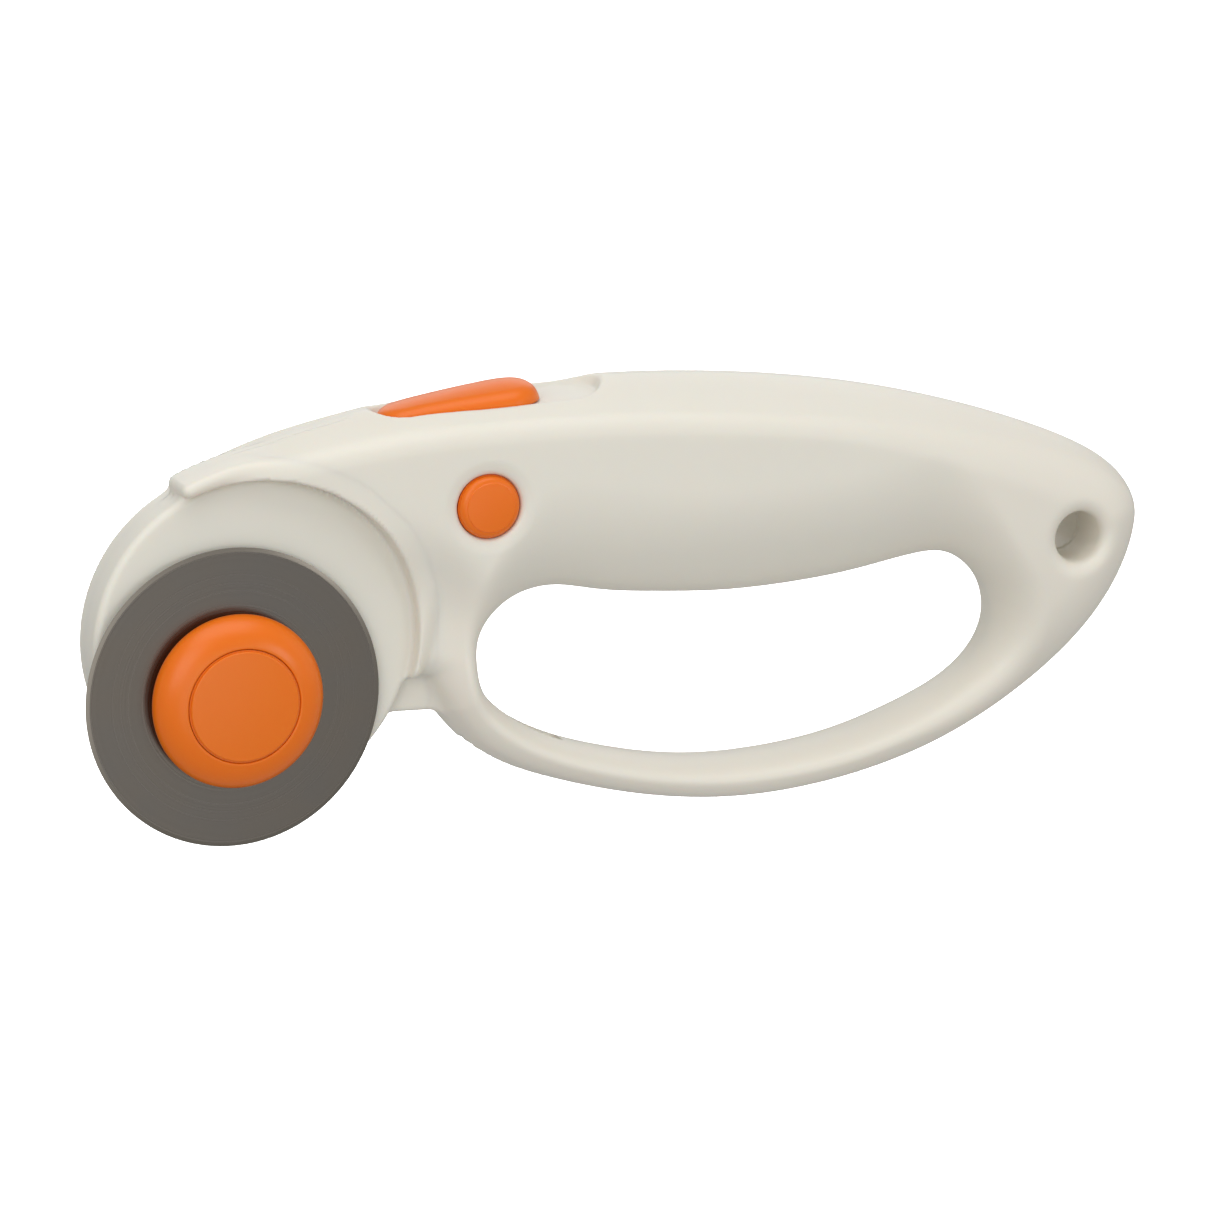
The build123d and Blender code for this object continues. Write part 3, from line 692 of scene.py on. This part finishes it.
def ground_steel(name, base, second, bevel, rough, at, edge):
    """Steel ground in fine rings about an axis along Y, with a brighter bevel up to the edge."""
    s = Surface(name, base, rough, 1.0)
    shift = s.add("ShaderNodeMapping")
    shift.inputs["Location"].default_value = (-at[0] * MM, 0, -at[2] * MM)
    flat = s.add("ShaderNodeVectorMath")
    flat.operation = "MULTIPLY"
    flat.inputs[1].default_value = (1, 0, 1)
    size = s.add("ShaderNodeVectorMath")
    size.operation = "LENGTH"
    rings = s.add("ShaderNodeCombineXYZ")
    s.link(s.place, shift.inputs["Vector"])
    s.link(shift.outputs["Vector"], flat.inputs[0])
    s.link(flat.outputs["Vector"], size.inputs[0])
    s.link(size.outputs["Value"], rings.inputs["X"])
    lines = s.noise(4200, 3, rings.outputs["Vector"])
    s.tint(s.noise(90, 5), base, second)
    start, soft = edge - BEVEL, 0.02
    rim = s.spread(size.outputs["Value"], 0, 1, (start - soft) * MM, (start + soft) * MM)
    bright = s.add("ShaderNodeMix")
    bright.data_type = "RGBA"
    bright.inputs["B"].default_value = bevel
    s.link(rim, bright.inputs["Factor"])
    s.link(s.shader.inputs["Base Color"].links[0].from_socket, bright.inputs["A"])
    s.link(bright.outputs["Result"], s.shader.inputs["Base Color"])
    s.rough(s.spread(lines, rough - 0.06, rough + 0.08))
    s.relief(lines, 3e-6)
    return s.mat


def plated(name, base, second, rough):
    """Plated or turned metal with faint blotches and fine scratches."""
    s = Surface(name, base, rough, 1.0)
    s.tint(s.noise(300, 4), base, second)
    s.rough(s.spread(s.noise(900, 3), rough - 0.08, rough + 0.1))
    s.relief(s.noise(3000), 2e-6)
    return s.mat


BLADE_R = (span("blade")[1][0] - span("blade")[0][0]) / 2
LOOKS = {
    "shell": moulded("white_plastic", colour(236, 231, 219), colour(233, 228, 215), 0.42, 3e-6, glow=0.2),
    "orange": moulded("orange_plastic", colour(243, 118, 4), colour(239, 113, 3), 0.32, 3e-6, glow=0.15,
                      shine=0.45, reach=(1.0, 0.25, 0.06)),
    "inner_plastic": moulded("dark_plastic", colour(72, 72, 74), colour(64, 64, 66), 0.5, 4e-6),
    "rubber": moulded("black_rubber", colour(30, 30, 30), colour(24, 24, 24), 0.75, 6e-6),
    "blade_steel": ground_steel("blade_steel", colour(110, 102, 92), colour(103, 101, 98),
                                colour(132, 126, 117), 0.3, AXLE, edge=BLADE_R),
    "zinc_steel": plated("zinc_steel", colour(186, 188, 190), colour(172, 174, 178), 0.32),
    "spring_steel": plated("spring_steel", colour(150, 150, 152), colour(140, 140, 143), 0.26),
    "brass": plated("brass", colour(214, 178, 108), colour(200, 163, 92), 0.3),
}
slots = {s["node"]: s["material_slot"] for s in frame["record"]["subparts"]}
for name, node in frame["nodes"].items():
    node.data.materials.clear()
    node.data.materials.append(LOOKS[slots[name]])
for piece, material_slot in made:
    piece.data.materials.append(LOOKS[material_slot])


# ---- Camera, light and floor -------------------------------------------------------------

def look(azimuth, elevation):
    """Direction from the object to a place round it, angles in degrees."""
    a, e = math.radians(azimuth), math.radians(elevation)
    return Vector((math.sin(a) * math.cos(e), -math.cos(a) * math.cos(e), math.sin(e)))


VIEW, VIEW_TARGET, VIEW_DISTANCE = (-20.44, 13.53), Vector((-0.0732, 0, -0.0068)), 1.085
LIGHT_TARGET = Vector((-0.07, 0, 0))

scene = bpy.context.scene
camera = bpy.data.objects.new("camera", bpy.data.cameras.new("camera"))
scene.collection.objects.link(camera)
camera.data.sensor_width, camera.data.lens = 36, 214.7
toward = look(*VIEW)
camera.location = VIEW_TARGET + toward * VIEW_DISTANCE
camera.rotation_mode = "QUATERNION"
camera.rotation_quaternion = (-toward).to_track_quat("-Z", "Y")
camera.data.clip_start, camera.data.clip_end = 0.05, 50
scene.camera = camera


def soft_box(name, size, power):
    """Rectangular lamp, still at the origin."""
    lamp = bpy.data.lights.new(name, "AREA")
    lamp.shape, lamp.size, lamp.size_y, lamp.energy = "RECTANGLE", size[0], size[1], power
    holder = bpy.data.objects.new(name, lamp)
    scene.collection.objects.link(holder)
    return holder


def area_light(name, azimuth, elevation, distance, size, power):
    """Lamp that faces the object from an azimuth and an elevation."""
    holder = soft_box(name, size, power)
    where = look(azimuth, elevation)
    holder.location = LIGHT_TARGET + where * distance
    holder.rotation_mode = "QUATERNION"
    holder.rotation_quaternion = where.to_track_quat("Z", "Y")
    holder.visible_camera = False


area_light("top_light", -15, 70, 0.9, (1.0, 0.7), 3.4)
area_light("front_light", -40, 22, 1.3, (0.8, 0.8), 3.9)
area_light("fill_light", -4, -8, 1.4, (1.0, 0.8), 2.6)
area_light("side_light", 70, 15, 1.4, (0.7, 0.9), 0.6)
area_light("edge_light", 33, 8, 1.2, (0.3, 0.26), 0.9)
area_light("back_light", 162, 28, 1.2, (1.2, 0.7), 2.2)

world = bpy.data.worlds.new("world")
scene.world = world
world.use_nodes = True
world.node_tree.nodes["Background"].inputs["Color"].default_value = (1, 1, 1, 1)
world.node_tree.nodes["Background"].inputs["Strength"].default_value = 0.45
scene.view_settings.view_transform = "Standard"

FLOOR_SIZE, FLOOR_Z = 12, -0.30
bpy.ops.mesh.primitive_plane_add(size=FLOOR_SIZE, location=(0, 0, FLOOR_Z))
floor = bpy.context.object
floor.name = "floor"
paint = Surface("floor_white", (0.72, 0.72, 0.72, 1), 0.9)
paint.relief(paint.noise(40, 3), 1e-4)
floor.data.materials.append(paint.mat)
# The floor takes shadows but throws no light up at the object
floor.visible_diffuse = False
floor.visible_glossy = False

# One lamp for the floor behind the object alone, so that it reads as white paper
only_floor = bpy.data.collections.new("only_floor")
only_floor.objects.link(floor)
floor_light = soft_box("floor_light", (0.9, 2.6), 37)
floor_light.location = (0.47, 1.46, 0.30)
floor_light.rotation_euler = (0, 0, math.radians(-20.4))
floor_light.light_linking.receiver_collection = only_floor
